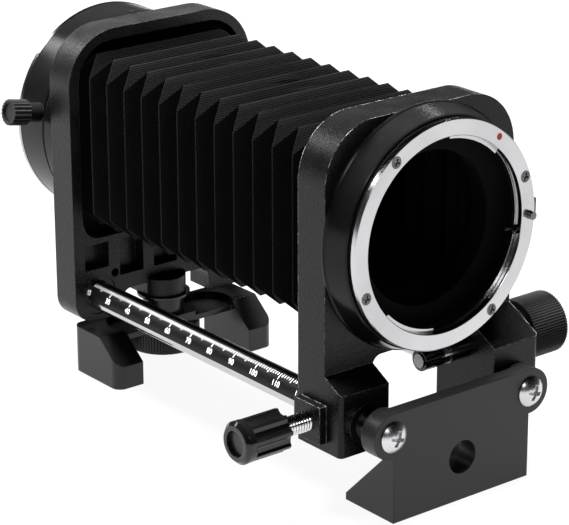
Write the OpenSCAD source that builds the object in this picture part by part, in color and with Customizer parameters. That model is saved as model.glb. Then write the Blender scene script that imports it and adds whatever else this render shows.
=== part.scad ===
// Macro bellows unit: two standards on a pair of round rails, a square folding bellows
// between them, a lens mount in front, a turning camera mount behind and a tripod block below.
// X is to the right seen from the lens side, Y runs from the lens to the camera, Z is up.
// The origin is the mouth of the tripod socket. Lengths are in millimetres.

/* [Overall] */
// Height of the optical axis above the surface the unit stands on
axis_h = 73; // [70:0.5:80]
// Height of the rail axes above that surface
rail_h = 25; // [23:0.5:26]
// Distance between the two rail axes
rail_gap = 49; // [48:0.5:51]
// Clear distance between the two standards, as drawn
extension = 105.5; // [95:0.5:120]
// Height of the tripod socket's mouth above that surface
socket_h = 3; // [2.5:0.25:4]

/* [Rails] */
// Diameter of each rail
rail_d = 8.5; // [8:0.25:9]
// Gap between the right guide block and the nose plate, as drawn
nose_gap = 0.6; // [0.4:0.2:8]
// Depth of the printed scale band let into the left rail
band_t = 0.15; // [0.1:0.05:0.3]
// Angle of rail surface that the scale band covers
band_wrap = 86; // [70:2:100]
// Height of the middle of the band, as an angle above the rail's outer side
band_tilt = 37; // [25:1:45]

/* [Rack and pinion] */
// Tooth module of the rack and the pinion
tooth_m = 0.8; // [0.7:0.05:0.9]
// Number of pinion teeth
pinion_n = 15; // [14:1:16]
// Play between a tooth and its gap, measured along the pitch line
backlash = 0.24; // [0.2:0.02:0.4]
// Width of the pinion
pinion_w = 7.8; // [6:0.2:8]
// Travel of the front standard along the rails
travel = 70; // [50:1:75]
// Diameter of the drive shaft
shaft_d = 6; // [5:0.25:6.5]
// Length of drive shaft that stands out of the guide block towards the middle
shaft_out = 16.7; // [15:0.1:19]
// Diameter of the drive knob
knob_d = 17.7; // [15:0.1:20]
// Length of the knurled part of the drive knob
knob_l = 12.3; // [10:0.1:18]

/* [Standards] */
// Width of both standards
std_w = 66; // [65:0.5:70]
// Depth of the rear standard, front to back
rear_d = 10; // [9:0.5:12]
// Distance of the rear standard's front face in front of the tripod axis
rear_lead = 1.5; // [1:0.25:2.5]
// Depth of the front standard's upper frame
front_d = 11; // [10:0.5:13]
// Radius of the standards' upper corners
std_r = 16.5; // [12:0.5:17.5]
// Radius of the rear standard's lower corners
foot_r = 7; // [4:0.5:7.5]
// Width of each leg that holds a rail
leg_w = 16.5; // [15.5:0.25:17]
// Height of the metal below each rail axis
leg_below = 8; // [7.5:0.25:9]
// How far the left guide block stands in front of the frame
left_lead = 6.75; // [5:0.25:8]
// How far the right guide block, which holds the pinion, stands in front of the frame
right_lead = 11.9; // [11:0.1:12]
// Fall of the left guide block's sloping top
left_fall = 3.7; // [2:0.1:5]
// Fall of the right guide block's sloping top
right_fall = 6.5; // [5:0.1:7]
// Rounding of the guide blocks' outer front edges
block_r = 1.4; // [0.5:0.1:2]
// Metal above the pinion's cavity
block_wall = 2; // [1.8:0.1:3]
// Depth of the recess that each end of the bellows sits in, rear standard
recess_d = 6; // [5:0.25:6.5]
// Wall left round that recess
recess_wall = 3.4; // [3:0.1:4]

/* [Bellows] */
// Width of the bellows over its outer folds
bellows_w = 57; // [54:0.5:58]
// Height of the bellows over its outer folds
bellows_h = 52.5; // [48:0.5:55.5]
// Depth of one fold
fold_d = 5.8; // [4:0.2:7]
// Number of folds
folds = 13; // [11:1:15]
// Thickness of the folded cloth and its lining
cloth_t = 0.6; // [0.5:0.1:0.9]
// Thickness of the two frames that hold the bellows' ends
frame_t = 1.4; // [1:0.1:1.8]

/* [Lens mount] */
// Bore of the lens mount
throat_d = 54; // [52:0.5:55]
// Width of the bright lens ring's face, from the bore to its outer edge
ring_w = 4.7; // [4.2:0.1:5]
// Thickness of the lens ring
ring_t = 1.5; // [1.2:0.1:2]
// Distance from the frame's front face to the lens ring's front face
mount_l = 10.3; // [9.5:0.1:11]
// Step from the lens ring's edge out to the mount barrel's front shoulder
shoulder_w = 0.5; // [0.3:0.1:0.9]
// How much wider the mount barrel grows on each side between its shoulder and the frame
flare = 2; // [1.4:0.1:2.3]
// How far the baffle stands in from the bore of the lens mount
baffle_in = 5.6; // [4:0.2:8]
// Depth of the baffle's opening behind the lens ring's front face
baffle_deep = 8; // [7:0.5:10]
// Distance from the bore out to the circle of the ring's screws, pin and index dot
screw_out = 2.7; // [2.4:0.1:2.9]
// How far the bayonet lugs stand in from the bore
lug_in = 1.1; // [0.8:0.1:1.8]
// Diameter of the lens lock pin
pin_d = 2.2; // [1.8:0.1:2.4]
// How far the lens lock pin stands out of the lens ring
pin_out = 1.6; // [1:0.1:1.6]
// Travel of the lens lock pin
pin_travel = 1.7; // [1.6:0.1:1.9]

/* [Camera mount] */
// Outer diameter of the camera mount
cam_d = 64.4; // [62:0.2:66]
// Distance from the rear standard's back to the camera's seating face
cam_l = 19.5; // [18:0.5:22]
// Diameter of the spigot that enters the camera
spigot_d = 50.8; // [48:0.2:51]
// Clear opening through the camera mount
cam_bore = 46; // [42:0.5:47]
// Diameter of the knob that locks the turning mount
turn_knob_d = 7.8; // [7:0.1:9]
// Length of that knob
turn_knob_l = 5.8; // [5:0.1:9]
// Height of that knob round the mount, as an angle above the left
turn_knob_a = 10.5; // [0:0.5:20]

/* [Nose plate] */
// Thickness of the nose plate
nose_t = 4; // [3.5:0.25:5]
// Radius of the nose plate's ears round each rail
ear_r = 6.5; // [6:0.25:7]
// Length of the nose plate's wedge foot
wedge_l = 19.5; // [16:0.5:22]
// Height of the wedge foot's rear lip
wedge_lip = 2; // [1.5:0.25:3]
// Diameter of the hole in the nose plate
nose_hole_d = 9.5; // [8:0.25:10]
// Diameter of the two rail screws' heads
nose_head_d = 8.6; // [7.5:0.1:9]

/* [Rail lock] */
// Diameter of the lock screw's thread
lock_d = 5; // [4:0.25:5.5]
// Diameter of the fluted lock knob
lock_knob_d = 11.8; // [11:0.1:14]
// Length of the fluted lock knob
lock_knob_l = 14.7; // [13.5:0.1:20]
// Length of bare thread between the knob and its boss
lock_gap = 9.2; // [3:0.2:11]

/* [Tripod block] */
// Width over the tripod block's feet
block_w = 58.6; // [56:0.5:62]
// Depth of each foot, front to back
foot_l = 23.3; // [20:0.1:25]
// Rounding of each foot's outer corners
foot_corner = 3; // [1:0.25:4]
// Height of the tripod block
block_h = 14.5; // [13:0.25:14.5]
// Thickness of the beam between the feet
beam_t = 3.2; // [3:0.1:4]
// Diameter of the knurled clamp wheel
wheel_d = 22; // [20:0.5:26]
// Width of each foot
foot_w = 9.3; // [8.5:0.1:11]
// Diameter of the collar above the block
collar_d = 13.9; // [13.5:0.1:15]
// Bore of the tripod socket
socket_d = 6.35; // [6:0.05:6.5]
// Depth of the tripod socket
socket_l = 6; // [5:0.25:6.25]

/* [Fits] */
// Radial clearance where one piece runs in another
run = 0.06; // [0.04:0.01:0.08]
// Radial clearance where one piece is fixed in another
snug = 0.02; // [0.01:0.01:0.03]

/* [Hidden] */
eps = 0.01;
fine = 96;
medium = 48;
small = 24;

// Heights, from the mouth of the tripod socket
floor_z = -socket_h;
axis_z = floor_z + axis_h;
rail_z = floor_z + rail_h;
leg_z = rail_z - leg_below;
block_z = floor_z + block_h;
beam_z = block_z - beam_t;

// Places along the rails
rear_y = -rear_lead;
rear_back = rear_y + rear_d;
std_back = rear_y - extension;
std_front = std_back - front_d;
left_front = std_front - left_lead;
right_front = std_front - right_lead;
nose_back = right_front - nose_gap;
boss_l = 1.5;
plate_back = nose_back - boss_l;
nose_y = plate_back - nose_t;
ring_y = std_front - mount_l;

// Rails
rail_r = rail_d / 2;
rail_x = rail_gap / 2;
rail_seat = rear_d - 1;
rail_end = rear_y + rail_seat;
nose_seat = 2;
grub_r = 1.5;
grub_in = 0.5;
grub_y = rear_y + rear_d / 2;
hole_r = 1.3;
rail_start = nose_back - nose_seat;
band_start = rear_y - 0.4;
band_margin = 8;
band_end = std_back - band_margin;

// Frame outlines
half_w = std_w / 2;
frame_top = axis_z + half_w;
frame_low = axis_z - half_w;
leg_in = half_w - leg_w;
leg_top = frame_low + 2;
arch_r = 4;

// Rack and pinion
pitch_r = tooth_m * pinion_n / 2;
tip_r = pitch_r + tooth_m;
root_r = pitch_r - 1.25 * tooth_m;
base_r = pitch_r * cos(20);
rack_pitch = PI * tooth_m;
rack_line = rail_z + rail_r - tooth_m;
drive_z = rack_line + pitch_r;
drive_y = std_front;
rack_gaps = ceil(travel / rack_pitch) + 6;
rack_depth = 1.25 * tooth_m + 0.1;

// Drive shaft, from its free end to the knob
shaft_r = shaft_d / 2;
shaft_end = leg_in - shaft_out;
nut_l = 6.7;
washer_l = 2.6;
end_l = 0.4;
knob_gap = 2.2;
knob_neck_r = knob_d / 2 - 2;
knob_bore_l = 9;
nut_x = shaft_end + end_l;
washer_x = nut_x + nut_l;
thread_x = washer_x + washer_l;
cavity_w = pinion_w + 0.8;
cavity_r = tip_r + 0.6;
knob_x = half_w + knob_gap;

// Rail lock
lock_r = lock_d / 2;
lock_y = std_back - 6.5;
bush_wall = 1;
bush_l = std_back - lock_y - lock_r - 0.2;
boss_side = 10.7;
boss_out = 2.3;
lock_face = -half_w - boss_out;
lock_knob_x = lock_face - lock_gap;
pad_t = 1.6;
pad_x = -rail_x - rail_r - run;
stud_in = 11;
cap_deep = 1.1;
cap_t = 0.7;
cap_r = lock_knob_d / 2 - 2.3;

// Camera mount: a fixed hub, the barrel that turns on it and the ring that keeps it there
cam_r = cam_d / 2;
seat_y = rear_back + cam_l;
cam_ring_l = 4.5;
cam_neck_l = 1.2;
barrel_y = rear_back + cam_ring_l + cam_neck_l + 0.3;
barrel_wall = 4.2;
hub_r = cam_r - barrel_wall;
hub_in = hub_r - 2.4;
keeper_t = 1.6;
keeper_w = 2;
keeper_in = 7.4;
keeper_y = seat_y - keeper_in;
hub_end = keeper_y + keeper_t;
turn_knob_y = barrel_y + 3;
turn_stud_r = 1.5;
turn_boss_r = 2.9;
turn_knob_r0 = cam_r + 4.6;
turn_stud_in = 4;
flange_t = 1.5;
mount_lug_h = 1.4;
cam_spigot_l = 4.8;
cam_screw_r = 1.3;
cam_screw_circle = cam_r - 2.5;
cam_screw_l = 0.95;

// Lens mount
throat_r = throat_d / 2;
ring_r = throat_r + ring_w;
shoulder_r = ring_r + shoulder_w;
barrel_r = shoulder_r + flare;
ring_back = ring_y + ring_t;
shoulder_y = ring_back + 1.3;
lip_l = 1.6;
sleeve_l = 2.8;
groove_r = throat_r + 0.8;
rim_r = throat_r + 0.15;
barrel_in = throat_r + 1.2;
spigot_r = throat_r + 2.5;
spigot_l = 6;
baffle_r = throat_r - baffle_in;
baffle_y = ring_y + baffle_deep;
shaft_room = 0.5;
screw_circle = throat_r + screw_out;
ring_head_r = 1.6;
ring_head_h = 0.7;
ring_thread_r = 0.8;
ring_thread_l = 4.5;
ring_screw_angles = [127, 21, -56, -158];
lug_starts = [46, 224, 308];
lug_sweep = 40;
lug_r = throat_r - lug_in;
pin_r = pin_d / 2;
pin_angle = -1;
stop_angle = 9.3;
dot_angle = 53;
dot_r = 0.9;
lever_y = shoulder_y + 1.9;
lever_t = 1.6;
lever_w = 4.4;
lever_r0 = screw_circle - 1.1;
lever_l = 8;
spring_y = std_front - 0.3;
spring_r = pin_r - 0.4;
stop_r = 0.8;
stop_y = ring_back + 1.6;

// Nose plate
nose_x = rail_x - 0.3;
nose_bore = nose_hole_d / 2;
nose_hole_z = floor_z + rail_h / 2;
nose_pocket_r = nose_bore + 2;
nose_pocket_y = nose_y + 6;
nose_screw_r = 1.7;
nose_thread_l = 8;
nose_screw_l = nose_t + boss_l + nose_thread_l;
nose_head_h = 2.3;

// Tripod block
half_block = block_w / 2;
foot_in = half_block - foot_w;
foot_front = -17;
foot_back = foot_front + foot_l;
foot_toe = 9;
foot_fall = 7.3;
foot_slope_y = foot_front + foot_toe;
foot_slope_z = block_z - foot_fall;
beam_front = -8;
dish_r = 8.4;
dish_x = 13.4;
dish_y = -3.4;
dish_d = 1.4;
collar_r = collar_d / 2;
collar_z = block_z + 6;
collar_gap = 14;
collar_top = frame_low - collar_gap;
swivel_t = 0.9;
swivel_w = 1.2;
stud_r = 3;
socket_r = socket_d / 2;
thread_r = socket_r + 2.2;
wheel_r = wheel_d / 2;
wheel_top = beam_z - 0.3;

// Solid cylinders along each axis
module along_x(r, x0, x1, y, z, fn = medium) {
    translate([x0, y, z])
        rotate([0, 90, 0])
            cylinder(r = r, h = x1 - x0, $fn = fn);
}

module along_y(r, y0, y1, x, z, fn = fine) {
    translate([x, y0, z])
        rotate([-90, 0, 0])
            cylinder(r = r, h = y1 - y0, $fn = fn);
}

module along_z(r, z0, z1, x = 0, y = 0, fn = medium) {
    translate([x, y, z0])
        cylinder(r = r, h = z1 - z0, $fn = fn);
}

// A flat outline in X and Z, given thickness from y0 back to y1
module plate_y(y0, y1) {
    translate([0, y1, 0])
        rotate([90, 0, 0])
            linear_extrude(y1 - y0)
                children();
}

// A profile in Y and Z, given width from x0 to x1
module slab_x(x0, x1) {
    translate([x0, 0, 0])
        rotate([90, 0, 90])
            linear_extrude(x1 - x0)
                children();
}

// A profile of radius and Y, turned round the optical axis
module turned_y() {
    translate([0, 0, axis_z])
        rotate([-90, 0, 0])
            rotate_extrude($fn = fine)
                children();
}

// A rectangle with its own radius for the upper and the lower corners
module rounded(x0, z0, x1, z1, r_top, r_low) {
    for (x = [x0 + r_top, x1 - r_top])
        translate([x, z1 - r_top])
            circle(r_top, $fn = fine);
    for (x = [x0 + r_low, x1 - r_low])
        translate([x, z0 + r_low])
            circle(r_low, $fn = fine);
    translate([x0 + r_top, z1 - 2 * r_top])
        square([x1 - x0 - 2 * r_top, 2 * r_top]);
    translate([x0 + r_low, z0])
        square([x1 - x0 - 2 * r_low, 2 * r_low]);
    translate([x0, z0 + r_low])
        square([x1 - x0, z1 - z0 - r_top - r_low]);
}

// Places children at an angle on a circle round the optical axis
module round_axis(angle, r) {
    translate([r * cos(angle), 0, axis_z + r * sin(angle)])
        children();
}

// Three bayonet lugs between radii r0 and r1, ending at y
module lugs(r0, r1, y) {
    for (a = lug_starts)
        translate([0, y, axis_z])
            rotate([90, 0, 0])
                rotate([0, 0, a])
                    rotate_extrude(angle = lug_sweep, $fn = fine)
                        translate([r0, 0])
                            square([r1 - r0, mount_lug_h]);
}

// A cross recess, cut from the plane of the head downwards along +Y
module cross_recess(size, depth) {
    for (turn = [0, 90])
        rotate([0, turn + 20, 0])
            translate([-size / 2, -eps, -size / 8])
                cube([size, depth + eps, size / 4]);
}

// Outline of a knurled bar: shallow V grooves round a circle
module knurl(r, teeth, depth) {
    polygon([for (i = [0 : 2 * teeth - 1])
        let (a = i * 180 / teeth, q = i % 2 == 0 ? r : r - depth)
        [q * cos(a), q * sin(a)]]);
}

// ---- Rear standard and what is fixed to it ----

// The recess behind each end of the bellows, or what fills it with a gap all round
module rear_recess(gap) {
    rounded(-half_w + recess_wall + gap, frame_low + 3 + gap, half_w - recess_wall - gap,
        frame_top - recess_wall - gap, std_r - recess_wall - 1 - gap, 6 - gap);
}

module front_recess(gap) {
    rounded(-half_w + recess_wall + gap, axis_z - bellows_h / 2 - 1.2 + gap, half_w - recess_wall - gap,
        axis_z + bellows_h / 2 + 1.2 - gap, std_r / 2 - gap, std_r / 2 - gap);
}

module rear_outline() {
    difference() {
        rounded(-half_w, leg_z, half_w, frame_top, std_r, foot_r);
        rounded(-leg_in, leg_z - 2 * arch_r, leg_in, collar_top - 1.2, arch_r, arch_r);
    }
}

module rear_pockets() {
    pocket_w = 8.6;
    pocket_d = 4;
    rib = 3.9;
    pocket_top = frame_low + 1.2;
    outer_h = 7.8;
    inner_h = 11.6;
    for (i = [-2 : 2])
        let (h = abs(i) == 2 ? outer_h : inner_h)
            translate([i * (pocket_w + rib) - pocket_w / 2, rear_y - eps, pocket_top - h])
                cube([pocket_w, pocket_d + eps, h]);
    for (side = [-1, 1])
        along_y(hole_r, rear_y - eps, rear_y + pocket_d, side * (rail_x - 5.9), rail_z + 5.8, small);
}

module rear_standard() {
    color("#2b2b2c")
        difference() {
            union() {
                plate_y(rear_y, rear_back)
                    rear_outline();
                translate([-collar_r, rear_y, collar_z])
                    cube([2 * collar_r, rear_d, collar_top - collar_z]);
                along_z(collar_r, collar_z, collar_top);
            }
            plate_y(rear_y - eps, rear_y + recess_d)
                rear_recess(0);
            along_y(hub_r - 1.4, rear_y, rear_back + eps, 0, axis_z);
            rear_pockets();
            for (side = [-1, 1]) {
                along_y(rail_r + snug, rear_y - eps, rail_end, side * rail_x, rail_z);
                along_y(rail_r + 1.8, rear_y - eps, rear_y + 0.5, side * rail_x, rail_z);
                along_z(grub_r + snug, leg_z - eps, rail_z, side * rail_x, grub_y);
            }
            along_z(stud_r + snug, collar_z - eps, collar_top + eps);
            along_z(collar_r - 2, collar_top - 1.6, collar_top + eps);
        }
}

module rail_grub_screws() {
    color("#8c8c90")
        for (side = [-1, 1])
            translate([side * rail_x, grub_y, leg_z + grub_in])
                difference() {
                    cylinder(r = grub_r, h = leg_below - rail_r - grub_in, $fn = small);
                    translate([0, 0, -eps])
                        cylinder(r = grub_r / 2, h = 1.2, $fn = 6);
                }
}

module rail_blank(side) {
    difference() {
        along_y(rail_r, rail_start, rail_end, side * rail_x, rail_z);
        along_y(nose_screw_r + snug, rail_start - eps, nose_y + nose_screw_l + 1, side * rail_x, rail_z, small);
    }
}

// Sector of a ring round the left rail, on its outer and upper side
module band_sector(r0, r1, y0, y1) {
    turn = 180 - band_tilt - band_wrap / 2;
    translate([-rail_x, y1, rail_z])
        rotate([90, 0, 0])
            rotate([0, 0, turn])
                rotate_extrude(angle = band_wrap, $fn = fine)
                    translate([r0, 0])
                        square([r1 - r0, y1 - y0]);
}

module left_rail() {
    color("#c9cacc")
        difference() {
            rail_blank(-1);
            band_sector(rail_r - band_t, rail_r + 1, band_end, band_start);
        }
}

module scale_band() {
    color("#161616")
        band_sector(rail_r - band_t, rail_r - snug, band_end, band_start);
}

// One gap of the rack, widest at the rail's surface
module rack_gap() {
    w = rack_pitch / 4 + backlash / 4;
    high = tooth_m + 1;
    polygon([[-w - high * tan(20), high], [-w + rack_depth * tan(20), -rack_depth],
        [w - rack_depth * tan(20), -rack_depth], [w + high * tan(20), high]]);
}

module right_rail() {
    color("#c9cacc")
        difference() {
            rail_blank(1);
            slab_x(rail_x - rail_r - 1, rail_x + rail_r + 1)
                for (i = [-2 : rack_gaps - 3])
                    translate([drive_y + i * rack_pitch, rack_line])
                        rack_gap();
        }
}

module nose_outline() {
    for (side = [-1, 1])
        translate([side * rail_x, rail_z])
            circle(ear_r, $fn = fine);
    translate([-rail_x, rail_z])
        square([rail_gap, ear_r]);
    translate([-nose_x, floor_z])
        square([2 * nose_x, rail_h]);
}

module nose_plate() {
    rise = rail_h - ear_r - 1;
    color("#303031")
        difference() {
            union() {
                plate_y(nose_y, plate_back)
                    nose_outline();
                for (side = [-1, 1])
                    along_y(ear_r, plate_back - eps, nose_back, side * rail_x, rail_z);
                slab_x(-nose_x, nose_x)
                    polygon([[plate_back - 1, floor_z], [nose_y + wedge_l, floor_z],
                        [nose_y + wedge_l, floor_z + wedge_lip], [plate_back, floor_z + rise],
                        [plate_back - 1, floor_z + rise]]);
            }
            for (side = [-1, 1]) {
                along_y(rail_r + snug, rail_start, nose_back + eps, side * rail_x, rail_z);
                along_y(nose_screw_r + 0.2, nose_y - eps, nose_back, side * rail_x, rail_z, small);
            }
            along_y(nose_bore, nose_y - eps, nose_y + wedge_l, 0, nose_hole_z, medium);
            along_y(nose_pocket_r, nose_pocket_y, nose_y + wedge_l + 1, 0, nose_hole_z, medium);
        }
}

module nose_screws() {
    head_r = nose_head_d / 2;
    dome = (head_r * head_r + nose_head_h * nose_head_h) / (2 * nose_head_h) + 0.6;
    color("#d8d8da")
        for (side = [-1, 1])
            translate([side * rail_x, nose_y, rail_z])
                difference() {
                    union() {
                        intersection() {
                            rotate([90, 0, 0])
                                cylinder(r = head_r, h = nose_head_h, $fn = medium);
                            translate([0, dome - nose_head_h, 0])
                                sphere(dome, $fn = fine);
                        }
                        rotate([-90, 0, 0])
                            translate([0, 0, -eps])
                                cylinder(r = nose_screw_r, h = nose_screw_l, $fn = small);
                    }
                    translate([0, -nose_head_h, 0])
                        cross_recess(head_r, 1.6);
                }
}

// ---- Bellows ----

bellows_back = rear_y + recess_d - frame_t;
bellows_front = std_back - 0.4;
bellows_l = bellows_back - bellows_front;
ring_count = 2 * folds + 1;
frame_gap = 0.3;

// Corners of the folded cloth at half-fold i: side and top folds stand out by turns
function fold_ring(i, inset) =
    let (out = i % 2 == 0 ? 0 : fold_d, in = fold_d - out,
         w = bellows_w / 2 - out - inset, h = bellows_h / 2 - in - inset,
         y = bellows_back - i * bellows_l / (2 * folds))
    [[w, y, axis_z + h], [-w, y, axis_z + h], [-w, y, axis_z - h], [w, y, axis_z - h]];

module bellows() {
    outer = [for (i = [0 : ring_count - 1]) each fold_ring(i, 0)];
    inner = [for (i = [0 : ring_count - 1]) each fold_ring(i, cloth_t)];
    n = len(outer);
    last = n - 4;
    walls = [for (i = [0 : ring_count - 2], k = [0 : 3])
        let (a = 4 * i + k, b = 4 * i + (k + 1) % 4) each [[a, b + 4, b], [a, a + 4, b + 4]]];
    linings = [for (f = walls) [f[0] + n, f[2] + n, f[1] + n]];
    ends = [for (k = [0 : 3]) let (a = k, b = (k + 1) % 4) each [
        [a, b, b + n], [a, b + n, a + n],
        [last + b, last + a, last + a + n], [last + b, last + a + n, last + b + n]]];
    color("#3a3a3c")
        polyhedron(concat(outer, inner), concat(walls, linings, ends));
}

// A flat frame, cut from the outline that it fills, that clamps one end of the bellows
module bellows_frame(y0, y1) {
    plate_y(y0, y1)
        difference() {
            children();
            translate([-bellows_w / 2 + fold_d, axis_z - bellows_h / 2 + fold_d])
                square([bellows_w - 2 * fold_d, bellows_h - 2 * fold_d]);
        }
}

module bellows_rear_frame() {
    color("#1c1c1d")
        bellows_frame(bellows_back, rear_y + recess_d)
            rear_recess(frame_gap);
}

module bellows_front_frame() {
    color("#1c1c1d")
        bellows_frame(bellows_front - frame_t, bellows_front)
            front_recess(frame_gap);
}

// ---- Camera mount ----

module camera_ring() {
    color("#1d1d1e")
        turned_y()
            polygon([[hub_in, rear_back], [cam_r - 0.2, rear_back], [cam_r + 0.4, rear_back + 0.6],
                [cam_r + 0.4, rear_back + cam_ring_l], [cam_r - 0.9, rear_back + cam_ring_l],
                [cam_r - 0.9, rear_back + cam_ring_l + cam_neck_l],
                [hub_r, rear_back + cam_ring_l + cam_neck_l], [hub_r, hub_end], [hub_in, hub_end]]);
}

// Z points outwards along the turn lock's own axis
module turn_radial(r) {
    translate([0, turn_knob_y, axis_z])
        rotate([0, turn_knob_a - 90, 0])
            translate([0, 0, r])
                children();
}

module camera_barrel() {
    color("#1d1d1e")
        difference() {
            union() {
                turned_y()
                    polygon([[hub_r + run, barrel_y], [cam_r - 0.4, barrel_y],
                        [cam_r - 0.1, barrel_y + 0.4], [cam_r - 0.1, seat_y - flange_t],
                        [hub_r + keeper_w + 0.2, seat_y - flange_t],
                        [hub_r + keeper_w + 0.2, keeper_y - 0.1], [hub_r + run, keeper_y - 0.1]]);
                turn_radial(cam_r - 3)
                    cylinder(r = turn_boss_r, h = turn_knob_r0 - cam_r + 2.7, $fn = medium);
            }
            turn_radial(hub_r - 1)
                cylinder(r = turn_stud_r + run, h = turn_knob_r0 - hub_r + 2, $fn = small);
        }
}

module retaining_ring() {
    color("#77787a")
        turned_y()
            translate([hub_r + snug, keeper_y])
                square([keeper_w - snug, keeper_t]);
}

module camera_bayonet() {
    lug_r1 = spigot_d / 2 + 1.3;
    lug_y = seat_y + cam_spigot_l;
    color("#d2d3d5")
        difference() {
            union() {
                turned_y()
                    polygon([[cam_bore / 2, seat_y - flange_t], [cam_r, seat_y - flange_t],
                        [cam_r, seat_y - 0.3], [cam_r - 0.3, seat_y], [spigot_d / 2, seat_y],
                        [spigot_d / 2, lug_y], [cam_bore / 2, lug_y]]);
                lugs(spigot_d / 2 - 1, lug_r1, lug_y);
            }
            for (a = ring_screw_angles)
                round_axis(a, cam_screw_circle)
                    along_y(cam_screw_r + snug, seat_y - cam_screw_l - snug, seat_y + eps, 0, 0, small);
        }
}

module camera_bayonet_screws() {
    color("#9b9c9e")
        for (a = ring_screw_angles)
            round_axis(a, cam_screw_circle)
                difference() {
                    along_y(cam_screw_r, seat_y - cam_screw_l, seat_y + 0.05, 0, 0, small);
                    translate([0, seat_y + 0.05, 0])
                        mirror([0, 1, 0])
                            cross_recess(1.8, 0.5);
                }
}

module turn_lock_screw() {
    color("#b9babc")
        turn_radial(hub_r + 0.1)
            cylinder(r = turn_stud_r, h = turn_knob_r0 - hub_r + turn_stud_in - 0.1, $fn = small);
}

module turn_lock_knob() {
    color("#161617")
        turn_radial(turn_knob_r0)
            difference() {
                linear_extrude(turn_knob_l)
                    knurl(turn_knob_d / 2, 20, 0.4);
                translate([0, 0, -eps])
                    cylinder(r = turn_stud_r + snug, h = turn_stud_in + 0.05, $fn = small);
                translate([0, 0, turn_knob_l - 0.6])
                    cylinder(r = turn_knob_d / 2 - 1, h = 1, $fn = medium);
            }
}

// ---- Front standard and what rides on it ----

module front_outline() {
    rounded(-half_w, frame_low, half_w, frame_top, std_r, 1);
    for (side = [-1, 1])
        translate([side < 0 ? -half_w : leg_in, leg_z])
            square([leg_w, leg_top - leg_z]);
    for (side = [-1, 1])
        difference() {
            translate([side < 0 ? -leg_in - 1 : leg_in - 3, frame_low - 3])
                square([4, 4]);
            translate([side * (leg_in - 3), frame_low - 3])
                circle(3, $fn = medium);
        }
}

// Side profile of a guide block: flat below, its top falling from the frame to the front face
module guide_block(lead, top, fall) {
    polygon([[std_back, leg_z], [std_front - lead, leg_z], [std_front - lead, top - fall],
        [std_front, top], [std_back, top]]);
}

// Plan of one guide block, its outer front edge rounded
module block_plan(side, front) {
    translate([0, 0, leg_z - 1])
        linear_extrude(frame_top)
            scale([side, 1])
                difference() {
                    translate([0, front])
                        square([half_w, std_back - front]);
                    difference() {
                        translate([half_w - block_r, front])
                            square([block_r, block_r]);
                        translate([half_w - block_r, front + block_r])
                            circle(block_r, $fn = medium);
                    }
                }
}

module front_standard() {
    color("#2b2b2c")
        difference() {
            union() {
                plate_y(std_front, std_back)
                    front_outline();
                intersection() {
                    slab_x(-half_w, -leg_in)
                        guide_block(left_lead, frame_low - 1.7, left_fall);
                    block_plan(-1, left_front);
                }
                intersection() {
                    slab_x(leg_in, half_w)
                        guide_block(right_lead, drive_z + cavity_r + block_wall, right_fall);
                    block_plan(1, right_front);
                }
                translate([lock_face, lock_y - boss_side / 2, rail_z - boss_side / 2])
                    cube([boss_out + 1, boss_side, boss_side]);
            }
            along_y(spigot_r + snug, std_front - eps, std_back + eps, 0, axis_z);
            along_y(barrel_r + snug, right_front, std_front, 0, axis_z);
            plate_y(bellows_front - frame_t, std_back + eps)
                front_recess(0);
            for (side = [-1, 1])
                along_y(rail_r + bush_wall, right_front - eps, std_back + eps, side * rail_x, rail_z);
            along_x(lock_r + run, lock_face - eps, -rail_x, lock_y, rail_z);
            along_x(shaft_r + run, leg_in - eps, half_w + eps, drive_y, drive_z);
            along_x(cavity_r, rail_x - cavity_w / 2, rail_x + cavity_w / 2, drive_y, drive_z);
        }
}

module rail_bushes() {
    color("#1c1c1d")
        for (p = [[-1, left_front], [-1, std_back - bush_l], [1, right_front], [1, std_back - bush_l]])
            difference() {
                along_y(rail_r + bush_wall - snug, p[1], p[1] + bush_l, p[0] * rail_x, rail_z);
                along_y(rail_r + run, p[1] - eps, p[1] + bush_l + eps, p[0] * rail_x, rail_z);
            }
}

// The lens lock's own frame: X points outwards through the lock pin
module lever_frame() {
    translate([0, 0, axis_z])
        rotate([0, -pin_angle, 0])
            children();
}

// Slot in the barrel's right side, as long as the release lever's travel needs
module lever_room() {
    lever_frame()
        translate([lever_r0 - 0.5, lever_y - 0.2, -lever_w / 2 - 0.3])
            cube([lever_l + 1, lever_t + pin_travel + 0.5, lever_w + 0.6]);
}

module mount_barrel() {
    color("#1d1d1e")
        difference() {
            turned_y()
                polygon([[barrel_in, ring_back], [ring_r - 0.6, ring_back], [ring_r - 0.6, shoulder_y],
                    [shoulder_r - 0.4, shoulder_y], [shoulder_r, shoulder_y + 0.4],
                    [barrel_r - 0.5, std_front - 1], [barrel_r, std_front - 0.6],
                    [barrel_r, std_front], [spigot_r, std_front],
                    [spigot_r, std_front + spigot_l], [barrel_in, std_front + spigot_l]]);
            along_x(shaft_r + shaft_room, shaft_end - 1, half_w + 1, drive_y, drive_z);
            for (a = ring_screw_angles)
                round_axis(a, screw_circle)
                    along_y(ring_thread_r + snug, ring_back - eps, ring_y + ring_thread_l + snug, 0, 0, small);
            round_axis(pin_angle, screw_circle)
                along_y(pin_r + run, ring_back - eps, lever_y + eps, 0, 0, small);
            round_axis(pin_angle, screw_circle)
                along_y(pin_r + run, lever_y, spring_y, 0, 0, small);
            lever_room();
        }
}

module throat_baffle() {
    color("#121213")
        turned_y()
            polygon([[barrel_in - snug, ring_back + sleeve_l + 0.2], [barrel_in - snug, std_front + spigot_l],
                [baffle_r + 2, std_front + spigot_l], [baffle_r, baffle_y + 0.9],
                [baffle_r, baffle_y], [throat_r + 0.5, baffle_y - 0.6],
                [throat_r + 0.6, ring_back + sleeve_l + 0.2]]);
}

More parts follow.
